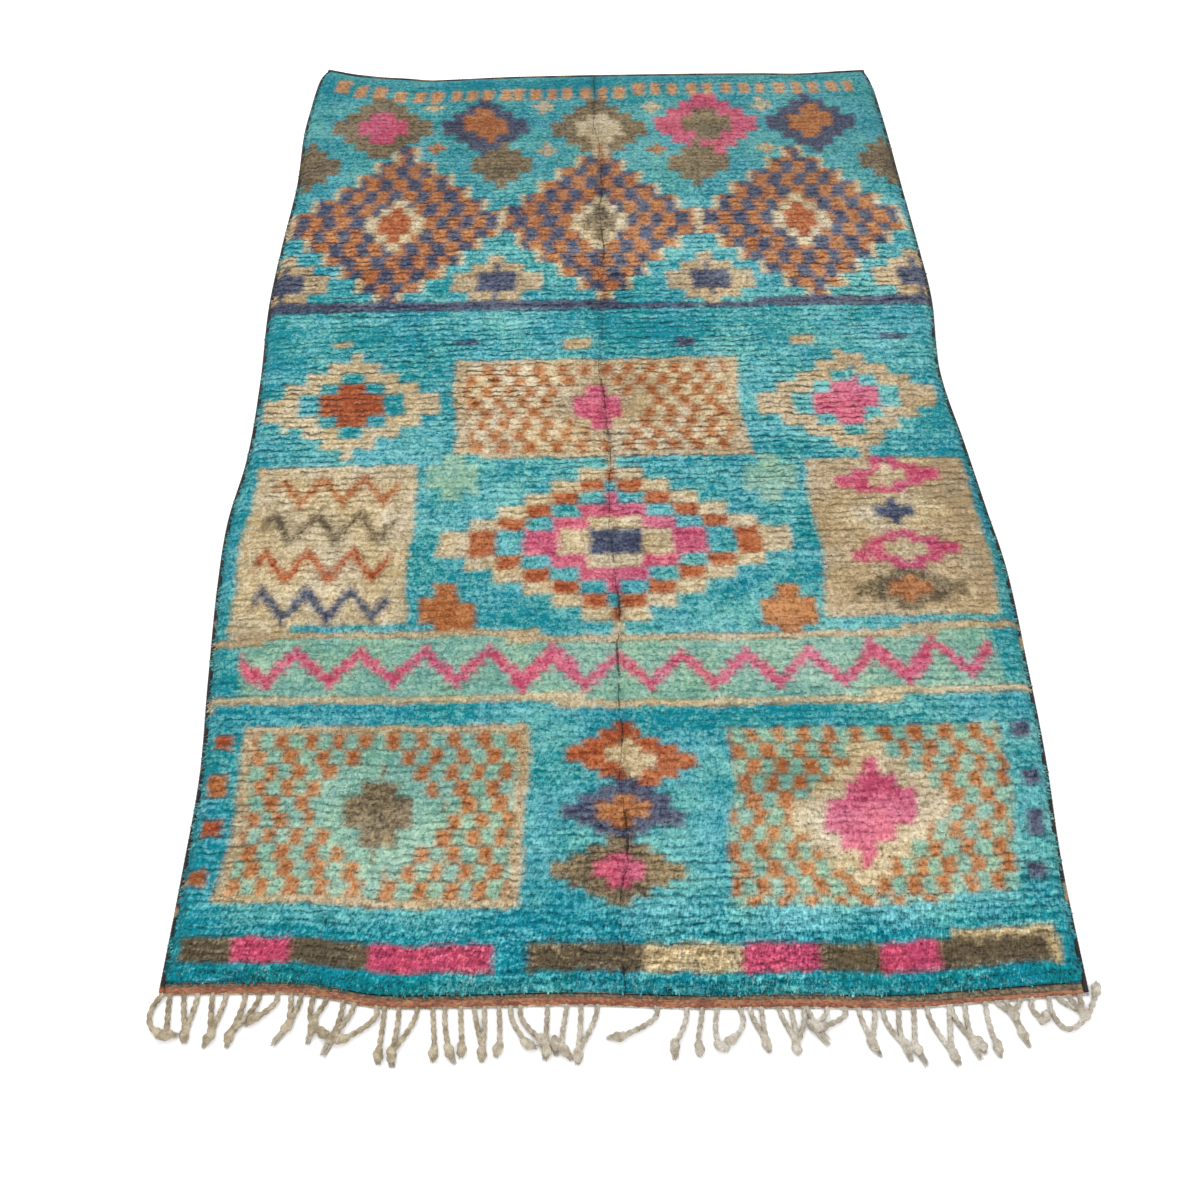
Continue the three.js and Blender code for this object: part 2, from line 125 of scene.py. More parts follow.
sides = np.array(SIDES) * MM
ends = np.array(ENDS) * (1, MM, MM)
left_side = smooth_curve(sides[:, 0], sides[:, 1])
right_side = smooth_curve(sides[:, 0], sides[:, 2])
near_shift = smooth_curve(ends[:, 0], ends[:, 1])
far_shift = smooth_curve(ends[:, 0], ends[:, 2])


def soft_step(value):
    value = np.clip(value, 0, 1)
    return value * value * (3 - 2 * value)


def corner_lift(x, y):
    return CORNER_LIFT * soft_step(1 - np.hypot(x + HALF_WIDTH, y - LENGTH / 2) / CORNER_REACH)


def on_rug(across, along, height):
    """Points of the rug: across from -1 to 1, along from the fringe end (0) to the top edge (1)."""
    across, along, height = np.broadcast_arrays(across, along, height)
    middle = LENGTH * (along - 0.5)
    inside = np.clip(along, 0, 1)
    left, right = left_side(middle), right_side(middle)
    x = -left + (left + right) * (across + 1) / 2
    pull = near_shift(across) * (1 - inside) ** NEAR_FADE + far_shift(across) * inside ** FAR_FADE
    y = middle + pull
    return np.stack([x, y, height + corner_lift(x, y)], -1)


# Where the pile ends across and along, as shares of the rug
PILE_SIDE = 1 - (SIDE_CORD_WIDTH + GAP) / HALF_WIDTH
PILE_NEAR = (STRIP_WIDTH + BAND_WIDTH + GAP * 2) / LENGTH
PILE_FAR = 1 - (TOP_EDGE_WIDTH + GAP) / LENGTH
PILE_LENGTH = PILE_FAR - PILE_NEAR
ROWS = round(LENGTH * PILE_LENGTH / ROW_PITCH)
COLUMNS = 400


def along_row(row):
    return PILE_NEAR + PILE_LENGTH * row / ROWS


def mottle(u, v, seed):
    """Smooth random patches from -1 to 1, one unit of u and of v wide."""
    u, v = u - u.min(), v - v.min()
    shape = int(v.max()) + 2, int(u.max()) + 2
    lattice = np.random.default_rng(seed).uniform(-1, 1, shape)
    i, j = v.astype(int), u.astype(int)
    s, t = soft_step(u - j), soft_step(v - i)
    low = lattice[i, j] * (1 - s) + lattice[i, j + 1] * s
    high = lattice[i + 1, j] * (1 - s) + lattice[i + 1, j + 1] * s
    return low * (1 - t) + high * t


# Camera

CAMERA_PLACE = (-0.0655, -1.8649, 2.1255)
CAMERA_TURN = (33.18, -0.09, -1.43)
CAMERA_LENS = 37.07


def new_object(name, data):
    thing = bpy.data.objects.new(name, data)
    bpy.context.scene.collection.objects.link(thing)
    return thing


camera_data = bpy.data.cameras.new("camera")
camera_data.lens = CAMERA_LENS
camera = new_object("camera", camera_data)
camera.location = CAMERA_PLACE
camera.rotation_euler = [math.radians(turn) for turn in CAMERA_TURN]
bpy.context.scene.camera = camera
bpy.context.scene.view_settings.view_transform = "Standard"


def linear(colour):
    """An sRGB colour, from 0 to 255, as the linear numbers that a shader takes."""
    share = np.array(colour, float) / 255
    return np.where(share <= 0.04045, share / 12.92, ((share + 0.055) / 1.055) ** 2.4)


class Reading:
    """A number that a finish reads at each point. Sums on it are written as sums."""

    def __init__(self, finish, socket):
        self.finish = finish
        self.socket = socket

    def maths(self, operation, *values):
        return self.finish.add("Math", dict(enumerate(values)), operation=operation)

    def __add__(self, other):
        return self.maths("ADD", self, other)

    def __sub__(self, other):
        return self.maths("SUBTRACT", self, other)

    def __rsub__(self, other):
        return self.maths("SUBTRACT", other, self)

    def __mul__(self, other):
        return self.maths("MULTIPLY", self, other)

    __radd__ = __add__

    def clipped(self, low, high):
        """0 under low, 1 over high, and smooth between them."""
        values = {"Value": self, "From Min": low, "From Max": high}
        return self.finish.add("MapRange", values, interpolation_type="SMOOTHSTEP")


class Finish:
    """One material, built up from its nodes."""

    def __init__(self, name, **settings):
        self.material = bpy.data.materials.new(name)
        self.material.use_nodes = True
        self.tree = self.material.node_tree
        self.shader = self.tree.nodes["Principled BSDF"]
        self.finish(**settings)

    def put(self, socket, value):
        if isinstance(value, Reading):
            self.tree.links.new(value.socket, socket)
        elif socket.type == "RGBA":
            socket.default_value = (*value, 1)
        else:
            socket.default_value = value

    def add(self, kind, values, output=0, **settings):
        node = self.tree.nodes.new("ShaderNode" + kind)
        for name, value in settings.items():
            setattr(node, name, value)
        for name, value in values.items():
            self.put(node.inputs[name], value)
        return Reading(self, node.outputs[output])

    def place(self, scale=(1, 1, 1), turn=(0, 0, 0)):
        spot = self.add("TexCoord", {}, "Object")
        return self.add("Mapping", {"Vector": spot, "Scale": scale, "Rotation": turn})

    def axis(self, number):
        """How far along X (0) or Y (1) a point is."""
        return self.add("SeparateXYZ", {0: self.place()}, number)

    def joined(self, x, y, z=0.0):
        return self.add("CombineXYZ", {0: x, 1: y, 2: z})

    def noise(self, where, scale, detail=3, roughness=0.6):
        values = {"Vector": where, "Scale": scale, "Detail": detail, "Roughness": roughness}
        return self.add("TexNoise", values)

    def fibres(self, scale, turn=0, detail=2, roughness=0.6):
        """Noise that is drawn out by a scale of its own along each axis."""
        return self.noise(self.place(scale, (0, 0, turn)), 1, detail, roughness)

    def cells(self, where):
        return self.add("TexVoronoi", {"Vector": where, "Scale": 1.0})

    def mix(self, share, first, second):
        return self.add("Mix", {0: share, 6: first, 7: second}, 2, data_type="RGBA")

    def dyed(self, share, first, second):
        """A mix with a colour that is given in sRGB, from 0 to 255, as the first one may be."""
        first = first if isinstance(first, Reading) else linear(first)
        return self.mix(share, first, linear(second))

    def attribute(self, name, output=2):
        """A number that the mesh holds, or a colour, which is output 0."""
        return self.add("Attribute", {}, output, attribute_name=name)

    def wool_dye(self, fade):
        return self.mix(fade, self.attribute("deep", 0), self.attribute("bleached", 0))

    def times(self, first, second):
        return self.add("VectorMath", {0: first, 1: second}, operation="MULTIPLY")

    def shaded(self, colour, shade):
        return self.times(colour, self.joined(shade, shade, shade))

    def bump(self, height, distance):
        return self.add("Bump", {"Height": height, "Distance": distance})

    def finish(self, **links):
        for socket, value in links.items():
            self.put(self.shader.inputs[socket.replace("_", " ").title()], value)
        return self.material


def mesh_object(mesh, material):
    mesh.materials.append(material)
    return new_object(mesh.name, mesh)


def mesh_from(name, shape):
    mesh = bpy.data.meshes.new(name)
    shape.to_mesh(mesh)
    shape.free()
    return mesh


def corner_places(shape):
    return np.array([corner.co for corner in shape.verts])


def move_corners(shape, places):
    for corner, place in zip(shape.verts, places):
        corner.co = place


# The floor and the light

floor_finish = Finish("studio_floor", roughness=0.9)
floor_grain = floor_finish.noise(floor_finish.place(), 6, 2)
floor_colour = floor_finish.mix(floor_grain, (0.93, 0.93, 0.93), (0.97, 0.97, 0.97))
floor_material = floor_finish.finish(base_color=floor_colour)

floor_shape = bmesh.new()
bmesh.ops.create_grid(floor_shape, x_segments=1, y_segments=1, size=14)
floor = mesh_object(mesh_from("floor", floor_shape), floor_material)

world = bpy.data.worlds.new("studio")
world.use_nodes = True
sky = world.node_tree.nodes["Background"].inputs
sky["Color"].default_value = (1, 1, 1, 1)
sky["Strength"].default_value = 1.05
bpy.context.scene.world = world


def soft_light(name, place, aim, size, power):
    data = bpy.data.lights.new(name, "AREA")
    data.shape = "SQUARE"
    data.size = size
    data.energy = power
    light = new_object(name, data)
    light.location = place
    offset = np.array(aim, float) - place
    yaw = math.atan2(offset[1], offset[0]) - math.pi / 2
    pitch = math.atan2(math.hypot(offset[0], offset[1]), -offset[2])
    light.rotation_euler = (pitch, 0, yaw)


soft_light("key", (-1.2, 2.6, 3.6), (0, 0, 0), 2.2, 120)
soft_light("fill", (1.6, -2.6, 3.4), (0, -0.2, 0), 3.0, 30)


# The weaver's chart: which dye each knot has

# Each dye as sRGB: deep where the sun never reached, and bleached
DYES = {
    "turquoise": ((0, 119, 132), (124, 187, 186)),
    "mint": ((96, 146, 134), (160, 188, 166)),
    "cream": ((164, 145, 111), (213, 198, 171)),
    "tan": ((150, 129, 98), (200, 181, 152)),
    "slate": ((48, 53, 76), (102, 109, 126)),
    "orange": ((142, 81, 43), (188, 136, 93)),
    "rust": ((138, 63, 34), (184, 117, 76)),
    "olive": ((85, 74, 57), (158, 139, 109)),
    "pink": ((168, 61, 91), (208, 121, 140)),
    "apricot": ((170, 120, 82), (212, 172, 130)),
}
DYE_NAMES = list(DYES)

# The pitch of the rows in mm, and how many dots are along the top edge
ROW = ROW_PITCH / MM
DOTS = 30


class Chart:
    """The pile as the weaver counts it, in mm from the middle of the rug."""

    def __init__(self):
        columns = (np.arange(COLUMNS) + 0.5) / COLUMNS * 2 - 1
        rows = np.arange(ROWS)
        along = (along_row(rows + 0.5) - 0.5) * LENGTH / MM
        self.x, y = np.meshgrid(columns * PILE_SIDE * HALF_WIDTH / MM, along)
        self.row = rows[:, None] + 0 * self.x.astype(int)
        self.wander = 5 * np.sin(y / 97 + 1) + 4 * np.sin(y / 41 + self.x / 300)
        self.bent_x = self.x + self.wander
        self.bent_y = y + 5 * np.sin(self.x / 210 + 0.6)
        self.dye = np.zeros(self.x.shape, int)

    def lay(self, inside, dye):
        self.dye[inside] = DYE_NAMES.index(dye)

    def inside(self, left, right, low, high):
        x, y = self.bent_x, self.bent_y
        return (x >= left) & (x < right) & (y >= low) & (y < high)

    def panel(self, left, right, low, high, dye):
        self.lay(self.inside(left, right, low, high), dye)

    def blocks(self, first_row, last_row, sets):
        """Blocks between two rows, each from a left to a right end."""
        for left, right, dye in sets:
            across = (self.x >= left) & (self.x < right)
            self.lay(across & (self.row >= first_row) & (self.row <= last_row), dye)

    def steps(self, x, y, wide, tall, step):
        """How far out a knot is on a stepped lozenge: under 1 inside it."""
        down = np.floor(np.abs(self.bent_y - y) / step) * step
        return np.abs(self.bent_x - x) / wide + down / tall

    def lozenge(self, x, y, *rings, step=33):
        """Lozenges one inside the other, each with its half width, half height and dye."""
        for wide, tall, dye in rings:
            self.lay(self.steps(x, y, wide, tall, step) < 0.96, dye)

    def checks(self, inside, first, second, wide, tall):
        """Checks of two dyes, so many rows tall, uneven as a weaver's who counts by eye."""
        along = self.row // tall
        x = self.x + 2 * self.wander
        across = np.floor(x / wide + 0.22 * np.sin(x / 71 + along * 1.9))
        odd = (across + along) % 2 == 1
        self.lay(inside & odd, second)
        self.lay(inside & ~odd, first)

    def zigzag(self, left, right, y, reach, period, thick, dye):
        x = self.bent_x
        wave = np.abs((x / period) % 1 - 0.5) * 2 * reach
        wave = np.round(wave / ROW) * ROW
        near = np.abs(self.bent_y - y - wave + reach / 2) < thick / 2
        self.lay(near & (x >= left) & (x < right), dye)

    def cross(self, x, y, size, dye):
        across, along = np.abs(self.bent_x - x), np.abs(self.bent_y - y)
        thin, long = np.minimum(across, along), np.maximum(across, along)
        self.lay((thin < size / 6) & (long < size / 2), dye)


chart = Chart()

# Five small lozenges under the row of dots
small = ((-588, 1050, 142, "olive", "pink"), (-306, 1060, 124, "slate", "orange"),
         (6, 1048, 136, "olive", "cream"), (304, 1056, 146, "pink", "olive"),
         (590, 1062, 126, "slate", "orange"))
for x, y, size, outer, inner in small:
    chart.lozenge(x, y, (size, size * 0.95, outer))
    chart.lozenge(x, y + 4, (size * 0.48, size * 0.48, inner))
for k in range(4):
    chart.cross((k - 1.5) * 296 + 5 * k, 1142, 54, "cream")
    chart.cross((k - 1.5) * 296 + 6, 958, 54, "tan" if k % 2 else "orange")

# Three large lozenges of slate and orange checks in cream steps
large = ((-514, 664, 1.04, "rust"), (2, 672, 0.98, "olive"), (516, 666, 1.02, "rust"))
for x, y, size, heart in large:
    chart.lozenge(x, y, (272 * size, 288 * size, "cream"), step=50)
    chart.checks(chart.steps(x, y, 246 * size, 262 * size, 50) < 1, "orange", "slate", 34, 3)
    chart.lozenge(x, y, (74 * size, 92, "cream"), (42, 58, heart))
for x in (-770, -258, 262, 772):
    chart.lozenge(x, 892, (84, 82, "olive"))
    chart.lozenge(x, 452, (112, 84, "tan"), (50, 40, "slate"))

# A slate line, and a plain band with a few dashes under it
chart.panel(-900, 900, 350, 380, "slate")
for k, x in enumerate((-640, -352, -96, 176, 452, 662)):
    chart.panel(x, x + 46 + 11 * (k % 3), 226, 254, "slate" if k % 2 else "tan")

# A middle panel of orange and cream checks between cream lozenges
chart.panel(-338, 318, -104, 190, "tan")
chart.checks(chart.inside(-310, 290, -88, 174), "cream", "orange", 27, 2)
chart.lozenge(-8, 46, (104, 100, "tan"), (58, 60, "pink"))
for x, outer, inner in ((-574, "cream", "rust"), (564, "tan", "pink")):
    chart.lozenge(x, 46, (212, 146, outer), (128, 88, "turquoise"), (78, 60, inner))

# Upright panels with zigzags, and a large nested lozenge between them
chart.panel(-760, -414, -548, -134, "cream")
for k, dye in enumerate(("orange", "olive", "rust", "slate")):
    chart.zigzag(-724, -450, -200 - 96 * k, 66, 88, 30, dye)
chart.panel(424, 768, -540, -128, "tan")
pairs = ("pink", "cream"), ("cream", "slate"), ("pink", "cream"), ("olive", "orange")
for k, (outer, inner) in enumerate(pairs):
    chart.lozenge(596, -184 - 98 * k, (116, 48, outer), (44, 24, inner), step=ROW)
for share, dye in ((1, "cream"), (0.83, "rust"), (0.68, "turquoise"), (0.52, "pink"),
                   (0.32, "cream"), (0.15, "slate")):
    chart.lozenge(4, -340, (376 * share, 212 * share, dye))
for x in (-338, 346):
    chart.lozenge(x, -170, (60, 56, "mint"))
    chart.lozenge(x + 4, -516, (58, 60, "orange"))

# A pink zigzag on a pale ground, between two lines
chart.panel(-734, 742, -708, -580, "mint")
chart.panel(-900, 900, -580, -562, "tan")
chart.zigzag(-730, 736, -644, 66, 124, 36, "pink")
chart.panel(-900, 900, -726, -708, "cream")

# Orange and mint checks in two panels, with a column of lozenges between them
chart.panel(-724, -184, -1130, -772, "tan")
chart.checks(chart.inside(-702, -206, -1112, -790), "mint", "orange", 27, 2)
chart.lozenge(-456, -952, (124, 128, "mint"), (68, 74, "olive"))
chart.checks(chart.inside(194, 716, -1122, -784), "orange", "mint", 27, 2)
chart.lozenge(452, -954, (150, 140, "cream"), (86, 84, "pink"))
pairs = ("rust", "cream"), ("slate", "orange"), ("olive", "pink")
for k, (outer, inner) in enumerate(pairs):
    rings = (128 - 8 * (k % 2), 64, outer), (50, 30, inner)
    chart.lozenge(4 - 6 * k, -838 - 114 * k, *rings, step=ROW)
for k, y in enumerate((-800, -892, -984, -1076)):
    chart.panel(-778, -744, y - 20, y + 20, "orange" if k % 2 else "rust")
    chart.panel(738, 772, y - 28, y + 12, "slate")

# The row of blocks along the fringe end
chart.blocks(2, 4, (
    (-775, -682, "olive"), (-682, -586, "pink"), (-586, -441, "olive"), (-441, -230, "pink"),
    (-169, 36, "olive"), (36, 207, "cream"), (207, 341, "pink"), (341, 446, "olive"),
    (446, 548, "pink"), (548, 744, "olive"), (744, 762, "cream"),
))
chart.blocks(5, 5, ((575, 756, "cream"),))

# The row of dots along the top edge, wider apart and bent upwards at the left corner
for k in range(DOTS):
    x = -737 + 50.4 * k + 40 * math.exp(-(((k - 5.5) / 5) ** 2)) + 3 * math.sin(k * 2.3)
    wide = 14 + 5 * math.exp(-k / 5) + 1.5 * math.sin(k * 4.1)
    top = ROWS - 5 + round(1.8 * math.exp(-k / 2.2)) + (k >= 17)
    chart.blocks(top - 2, top, ((x - wide, x + wide, "apricot"),))


# The pile: a low field of wool in rows, with locks at its rim and wisps all over it

GROUND_TOP = 0.0035
PILE_TOP = 0.0176
ROW_DEPTH = 0.0036
ROW_CREST = 0.35
LINES_PER_ROW = 4
PILE_BANDS = 5
CREASE_DEPTH = 0.0050
CREASE_WIDTH = 0.016
STROKE_WIDTH = 0.0042

# Wool of three knots mingles at each spot: how many columns aside, and how many rows beyond
BLEND = ((-1.3, 0.18), (0.0, -0.26), (1.3, 0.08))


def shape_arrays(shape):
    """A bmesh as arrays: its corners' places, and its faces as lists of corners."""
    shape.verts.index_update()
    places = corner_places(shape)
    faces = [[corner.index for corner in face.verts] for face in shape.faces]
    shape.free()
    return places, faces


def keep_dyes(mesh, dyes, **readings):
    """What the wool's finish reads at each corner: both ends of its blend of dyes, and numbers."""
    for name, end in (("deep", 0), ("bleached", 1)):
        colours = np.array([linear(DYES[known][end]) for known in DYE_NAMES])[dyes].mean(-2)
        layer = mesh.color_attributes.new(name, "FLOAT_COLOR", "POINT")
        shown = np.concatenate([colours, np.ones((len(colours), 1))], 1)
        layer.data.foreach_set("color", shown.astype(np.float32).ravel())
    for name, values in readings.items():
        layer = mesh.attributes.new(name, "FLOAT", "POINT")
        layer.data.foreach_set("value", values.astype(np.float32).ravel())


def joined_copies(name, places, faces):
    """One mesh of many copies of a shape. places has a set of corners for each copy."""
    copies, corners = places.shape[:2]
    sets = [[k * corners + corner for corner in face] for k in range(copies) for face in faces]
    mesh = bpy.data.meshes.new(name)
    mesh.from_pydata(places.reshape(-1, 3), [], sets, shade_flat=False)
    return mesh


def wool_field():
    """The pile as arrays, a value for each corner of a fine net over the whole rug."""
    chance = np.random.default_rng(11)
    lines = np.arange(ROWS * LINES_PER_ROW + 1.0) / LINES_PER_ROW
    across, row = np.meshgrid(np.linspace(-PILE_SIDE, PILE_SIDE, COLUMNS + 1), lines)
    x = across * HALF_WIDTH

    # Rows wander a little, and part from each other in stretches a hand's width long
    wander = 0.24 * mottle(x / 0.07, row / 1.3, 21) + 0.16 * mottle(x / 0.026, row, 22)
    wander = wander * soft_step(row / 2) * soft_step((ROWS - row) / 2)
    crest = np.abs(np.sin(np.pi * (row + wander))) ** ROW_CREST
    parting = soft_step(0.42 + 0.9 * mottle(x / 0.075, row, 23) + 0.5 * mottle(x / 0.022, row, 24))

    # The pile has low swells, as in the part's source, and each knot's tuft is a low lump
    along = along_row(row)
    swell = np.sin(across * 5.1 + along * 9.7) * np.cos(along * 23 - across * 3.3)
    swell += 0.6 * (np.sin(across * 17 + along * 61) * np.sin(along * 143 + across * 7))
    tufts = mottle(x / 0.011, row * 1.6, 25) + 0.45 * mottle(x / 0.006, row * 2.2, 26)
    broad, stroke, fold = lengthwise_crease(x, row)
    height = PILE_TOP + 0.0010 * swell + 0.0012 * tufts
    brushed = 1 - 0.4 * soft_step((row / ROWS - 0.7) / 0.2)
    height -= ROW_DEPTH * (1 - crest) * (0.35 + 0.65 * parting) * brushed
    height -= CREASE_DEPTH * (0.5 * broad + 0.5 * stroke)

    # The wool rounds off at the sides and at both ends
    side = (PILE_SIDE - np.abs(across)) * HALF_WIDTH
    # Painted shade in the notches between the rows' ends at the sides
    row_end_shade = 0.9 * (1 - crest) * soft_step(1.2 - side / 0.014)
    rim = soft_step(side / 0.020) * soft_step(row / 1.7) * soft_step((ROWS - row) / 1.6)
    height = 0.0085 + (height - 0.0085) * rim ** 0.7

    ragged = chance.uniform(-0.5, 0.5, (2, *x.shape))
    sideways = 0.7 * mottle(x / 0.013, row * 1.1, 36) + 1.2 * ragged[0]
    lengthways = 0.35 * wander + 0.22 * mottle(x / 0.017, row * 0.9, 37) + 0.12 * ragged[1]
    column = (across / PILE_SIDE + 1) / 2 * COLUMNS + sideways
    dyes = []
    for aside, beyond in BLEND:
        knot = np.clip(column + aside, 0, COLUMNS - 1).astype(int)
        knot_row = np.clip(row + lengthways + beyond, 0, ROWS - 1).astype(int)
        dyes.append(chart.dye[knot_row, knot])
    return {
        "across": across, "row": row, "phase": row + wander, "height": height,
        "dyes": np.stack(dyes, -1),
        "fade": wool_fade(x, row, broad) + 0.05 * chance.normal(size=x.shape),
        # crease is painted shade: half of the fold's broad hollow, and the notches between row ends
        # at the sides
        "crease": 0.5 * broad + row_end_shade, "fold": fold,
        "lean": 0.55 * mottle(x / 0.11, row / 5, 28) + 0.35 * mottle(x / 0.025, row / 1.5, 29),
    }


def lengthwise_crease(x, row):
    """The fold down the middle: a broad hollow, and a broken stroke that wanders in it.

    The third value is the distance to the stroke, or a long way where it is broken off."""
    one = 0 * x
    off = x - 0.007 * mottle(one, row / 8, 27) - 0.003 * mottle(one, row / 2.3, 30)
    present = soft_step(0.62 + 1.3 * mottle(one, row / 3.1, 35) + 0.5 * mottle(one, row / 1.2, 40))
    broad = np.exp(-((off / CREASE_WIDTH) ** 2)) * (0.75 + 0.35 * mottle(x / 0.03, row / 3, 38))
    fold = np.clip(off, -0.04, 0.04) + np.sign(off) * 0.006 * (1 - present)
    return broad, np.exp(-((off / STROKE_WIDTH) ** 2)) * present, fold


def wool_fade(x, row, crease):
    """How bleached the wool is, from 0 to 1, in patches and in bands along the rows; less in the
    fold, as painted shade.
    """
    patches = 0.26 * mottle(x / 0.30, row / 14, 31) + 0.20 * mottle(x / 0.11, row / 3.6, 32)
    patches += 0.14 * mottle(x / 0.045, row / 1.9, 39)
    patches *= 1 - 0.35 * soft_step((row / ROWS - 0.72) / 0.15) - 0.4 * soft_step((10 - row) / 5)
    bands = 0.10 * mottle(x / 0.55, row / 1.8, 33) + 0.09 * mottle(x / 0.10, row, 34)
    near_edge = 0.34 * soft_step((9 - row) / 6) - 0.13 * np.exp(-(((row - 23) / 10) ** 2))
    at_sides = np.clip((np.abs(x) - 0.66) / 0.12, 0, 1) * 0.16
    top_edge = soft_step((row - ROWS + 10) / 8) * 0.18
    sunny = 0.13 * soft_step((x + 0.1) / 0.6) * soft_step((row - 95) / 30)
    return 0.36 + patches + bands + sunny - near_edge - top_edge - at_sides - 0.15 * crease


def wool_band(name, field, first, last):
    """Rows first to last of the field, as one piece that reaches down to the ground all round."""
    low, high = max(first - 1, 0), min(last + 1, ROWS * LINES_PER_ROW)
    rims = (1, 1), (1, 1), (0, 0)
    part = {
        key: np.pad(values[low:high + 1], rims[:values.ndim], "edge") for key, values in field.items()
    }
    if low < first:
        part["height"][:2] -= 0.002
    if high > last:
        part["height"][-2:] -= 0.002
    height = part["height"]
    height[[0, -1]] = GROUND_TOP
    height[:, [0, -1]] = GROUND_TOP
    lines, columns = height.shape
    shape = bmesh.new()
    bmesh.ops.create_grid(shape, x_segments=columns - 1, y_segments=lines - 1, size=0.5)
    spots = (corner_places(shape) + 0.5) * (columns - 1, lines - 1, 0)
    mesh = mesh_from(name, shape)
    i, j = np.rint(spots[:, :2].T).astype(int)
    at = {key: values[j, i] for key, values in part.items()}
    places = on_rug(at["across"], along_row(at["row"]), at["height"])
    mesh.vertices.foreach_set("co", places.astype(np.float32).ravel())
    mesh.polygons.foreach_set("use_smooth", np.ones(len(mesh.polygons), bool))
    mesh.update()
    readings = {name: at[name] for name in ("fade", "crease", "fold")}
    keep_dyes(mesh, at["dyes"], row=at["phase"], **readings)
    return mesh


def wool_finish(name, base, streak_scale, bump, sheen=0.2):
    """Wool: fibres run in fine streaks, over the colour that base gives."""
    finish = Finish(name, roughness=0.9, sheen_weight=sheen, sheen_roughness=0.6)
    finish.shader.inputs["Specular IOR Level"].default_value = 0.15
    streaks = finish.fibres(streak_scale, 0, 4, 0.7).clipped(0.28, 0.72)
    patches = finish.noise(finish.place(), 38, 3)
    shade = 0.60 + streaks * 0.52 + patches * 0.28
    colour = finish.shaded(base(finish), shade)
    normal = finish.bump(streaks, bump)
    return finish.finish(base_color=colour, roughness=0.78 + streaks * 0.22, normal=normal)


def pile_finish():
    """Pile wool: bleached specks over the deep dye, with painted shade in dark pores and in thin
    lines between rows.
    """
    finish = Finish("wool_pile", roughness=0.95, sheen_weight=0.08, sheen_roughness=0.5)
    finish.shader.inputs["Specular IOR Level"].default_value = 0.1
    place = finish.place()
    x, y = finish.axis(0), finish.axis(1)
    near = y.clipped(-0.5, -1.25)
    far = y.clipped(0.5, 1.0)
    row = finish.attribute("row")
    specks = finish.noise(finish.place((0.8, 1.05, 1)), 205, 2)
    blots = finish.noise(place, 48, 2)
    lots = finish.noise(place, 9, 3).clipped(0.36, 0.64)

    # How much the rows show: most past the middle of the rug, and more in some places
    region = finish.noise(place, 3.4, 2).clipped(0.38, 0.62) * 0.7 + 0.6
    ruled = (y.clipped(-0.6, 0.1) * 0.52 + near * 0.26 + 0.40 - far * 0.55) * region

    # Fibres stand up near the fringe, in slanting locks, and lie along the rows further up
    slanted = x * 300 - y * (0.24 - x * 0.16) * 300
    locks = finish.noise(finish.joined(slanted, y * 78), 1, 2)
    hairs = finish.fibres((430, 105, 300))
    strands = finish.fibres((70, 300, 300))
    grain = (specks - 0.5) * 1.5 + (blots - 0.5) * 1.3 + (hairs - 0.5) * (1.1 - near * 0.3)
    grain = grain + (locks - 0.5) * near * 2.0
    grain = grain * (1 - far * 0.5) + (strands - 0.5) * (ruled + 0.35)

    # Tufts in their rows, each with a rim of painted shade, also sunk a little in the bump
    rims = finish.cells(finish.joined(x * 130, row * 2.0)).clipped(0.40, 0.80)

    # Painted shade in the lines between rows, broken into stretches a finger or two long
    drifted = row + (blots - 0.5) * 1.1
    phase = drifted.maths("FRACT", drifted) - 0.5
    off = phase.maths("ABSOLUTE", phase)
    present = finish.noise(finish.joined(x * 26, row * 0.9), 1).clipped(0.40, 0.58) * ruled
    lines = off.clipped(0.29, 0.47) * present

    # Painted highlight: the crest of each row is mixed paler
    crest = (0.5 - off.clipped(0.05, 0.45)) * ruled
    tips = finish.attribute("fade") + grain * (1.0 - near * 0.58) - rims * 0.2 + crest * 0.3
    lot = finish.mix(lots, (1.05, 1.03, 0.94), (0.95, 0.99, 1.04))
    colour = finish.times(finish.wool_dye(tips), lot)

    # The fold down the middle, painted as shade: a broken dark stroke, and a broad darkening that
    # also takes in the notches at the row ends
    aside = finish.attribute("fold") + (hairs - 0.5) * 0.007 + (specks - 0.5) * 0.006
    stroke = aside.maths("ABSOLUTE", aside).clipped(0.0034, 0.0004) * blots.clipped(0.68, 0.48)
    crease = finish.attribute("crease") * (hairs.clipped(0.62, 0.40) * 0.7 + 0.3)

    # Painted shade in small pores between the tufts
    pore_shade = specks.clipped(0.42, 0.28) * (near * 0.12 + 0.45 - far * 0.15)
    # The painted shade of all these, a little darker towards the far end; near the fringe each tuft
    # is also painted lighter or darker
    shade = (0.97 + near * 0.11 - far * 0.21) * (1 - lines * 0.60) * (1 - pore_shade)
    shade = shade * (1 - crease * 0.6) * (1 - rims * 0.14) * (1 - stroke * 0.74)
    shade = shade * (1 + grain * (near * 0.28 + y.clipped(-1.08, -1.2) * 0.62))
    height = specks * 0.6 + hairs * 0.4 + strands * 0.4 + locks * near * 0.6
    height = height - lines * 0.7 - rims * 0.4 - stroke * 0.5
    normal = finish.bump(height, 0.0028)
    return finish.finish(base_color=finish.shaded(colour, shade), normal=normal)


pile_material = pile_finish()
field = wool_field()
pile_pieces = []
band_ends = np.linspace(0, ROWS, PILE_BANDS + 1).astype(int) * LINES_PER_ROW
for number, (first, last) in enumerate(zip(band_ends, band_ends[1:]), 1):
    mesh = wool_band(f"pile_band_{number}", field, first, last)
    pile_pieces.append(mesh_object(mesh, pile_material))


# Locks at the pile's rim, and wisps all over it

